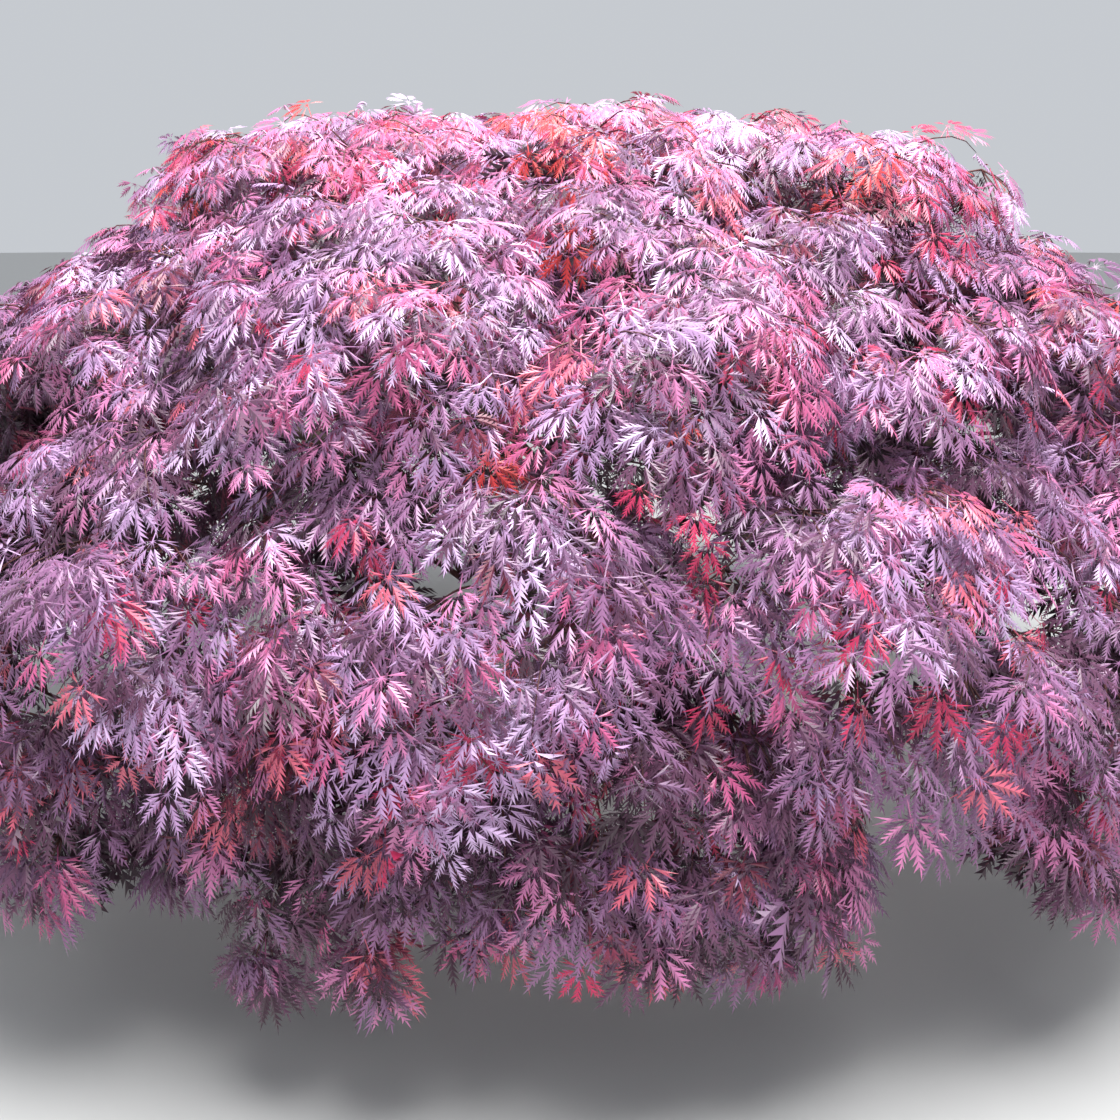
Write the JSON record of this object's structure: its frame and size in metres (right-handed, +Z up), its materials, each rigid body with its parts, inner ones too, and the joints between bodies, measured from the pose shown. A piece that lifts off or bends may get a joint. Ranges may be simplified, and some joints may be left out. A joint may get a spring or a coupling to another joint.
{
  "type": "weeping japanese maple",
  "caption": "Weeping laceleaf Japanese maple: a broad rooted dome of overhanging purple-red foliage, hollow underneath, carried by a short trunk and arching boughs.",
  "frame": {"origin": "middle of the flat cut under the trunk, at ground level", "axes": "+Z up along the trunk, +X to the right and -Y towards the viewer when the pictured front is looked at"},
  "size_m": [3.7695, 3.2885, 1.8984],
  "materials": {
    "bark": "rough grey-brown bark on the trunk and boughs, dark red-brown on the twigs",
    "top_leaves": "finely cut leaves, mauve-red with scarlet young growth",
    "upper_leaves": "finely cut leaves, mauve-purple",
    "middle_leaves": "finely cut leaves, mauve-purple with crimson tips",
    "skirt_leaves": "finely cut leaves, dark purple-red"
  },
  "bodies": {
    "root": {"bough_back_left": "bark", "bough_back_left_arching": "bark", "bough_back_left_rising": "bark", "bough_back_left_weeping": "bark", "bough_back_right": "bark", "bough_back_right_arching": "bark", "bough_back_right_rising": "bark", "bough_back_right_weeping": "bark", "bough_front": "bark", "bough_front_arching": "bark", "bough_front_rising": "bark", "bough_front_weeping": "bark", "bough_left": "bark", "bough_left_arching": "bark", "bough_left_rising": "bark", "bough_left_weeping": "bark", "bough_right": "bark", "bough_right_arching": "bark", "bough_right_rising": "bark", "bough_right_weeping": "bark", "bough_top_back_right": "bark", "bough_top_front_left": "bark", "bough_top_front_middle": "bark", "bough_top_front_right": "bark", "foliage_middle_back_left": "middle_leaves", "foliage_middle_back_right": "middle_leaves", "foliage_middle_far_left": "middle_leaves", "foliage_middle_far_right": "middle_leaves", "foliage_middle_front": "middle_leaves", "foliage_middle_front_left": "middle_leaves", "foliage_middle_front_right": "middle_leaves", "foliage_middle_left": "middle_leaves", "foliage_middle_right": "middle_leaves", "foliage_skirt_back_left": "skirt_leaves", "foliage_skirt_back_right": "skirt_leaves", "foliage_skirt_far_left": "skirt_leaves", "foliage_skirt_far_right": "skirt_leaves", "foliage_skirt_front_left": "skirt_leaves", "foliage_skirt_front_middle_left": "skirt_leaves", "foliage_skirt_front_middle_right": "skirt_leaves", "foliage_skirt_front_right": "skirt_leaves", "foliage_skirt_left": "skirt_leaves", "foliage_skirt_right": "skirt_leaves", "foliage_top_back_left": "top_leaves", "foliage_top_back_right": "top_leaves", "foliage_top_front_left": "top_leaves", "foliage_top_front_middle": "top_leaves", "foliage_top_front_right": "top_leaves", "foliage_upper_back_left": "upper_leaves", "foliage_upper_back_right": "upper_leaves", "foliage_upper_far_left": "upper_leaves", "foliage_upper_far_right": "upper_leaves", "foliage_upper_front_left": "upper_leaves", "foliage_upper_front_middle": "upper_leaves", "foliage_upper_front_right": "upper_leaves", "foliage_upper_left": "upper_leaves", "foliage_upper_right": "upper_leaves", "leader": "bark", "trunk": "bark"}
  },
  "joints": []
}
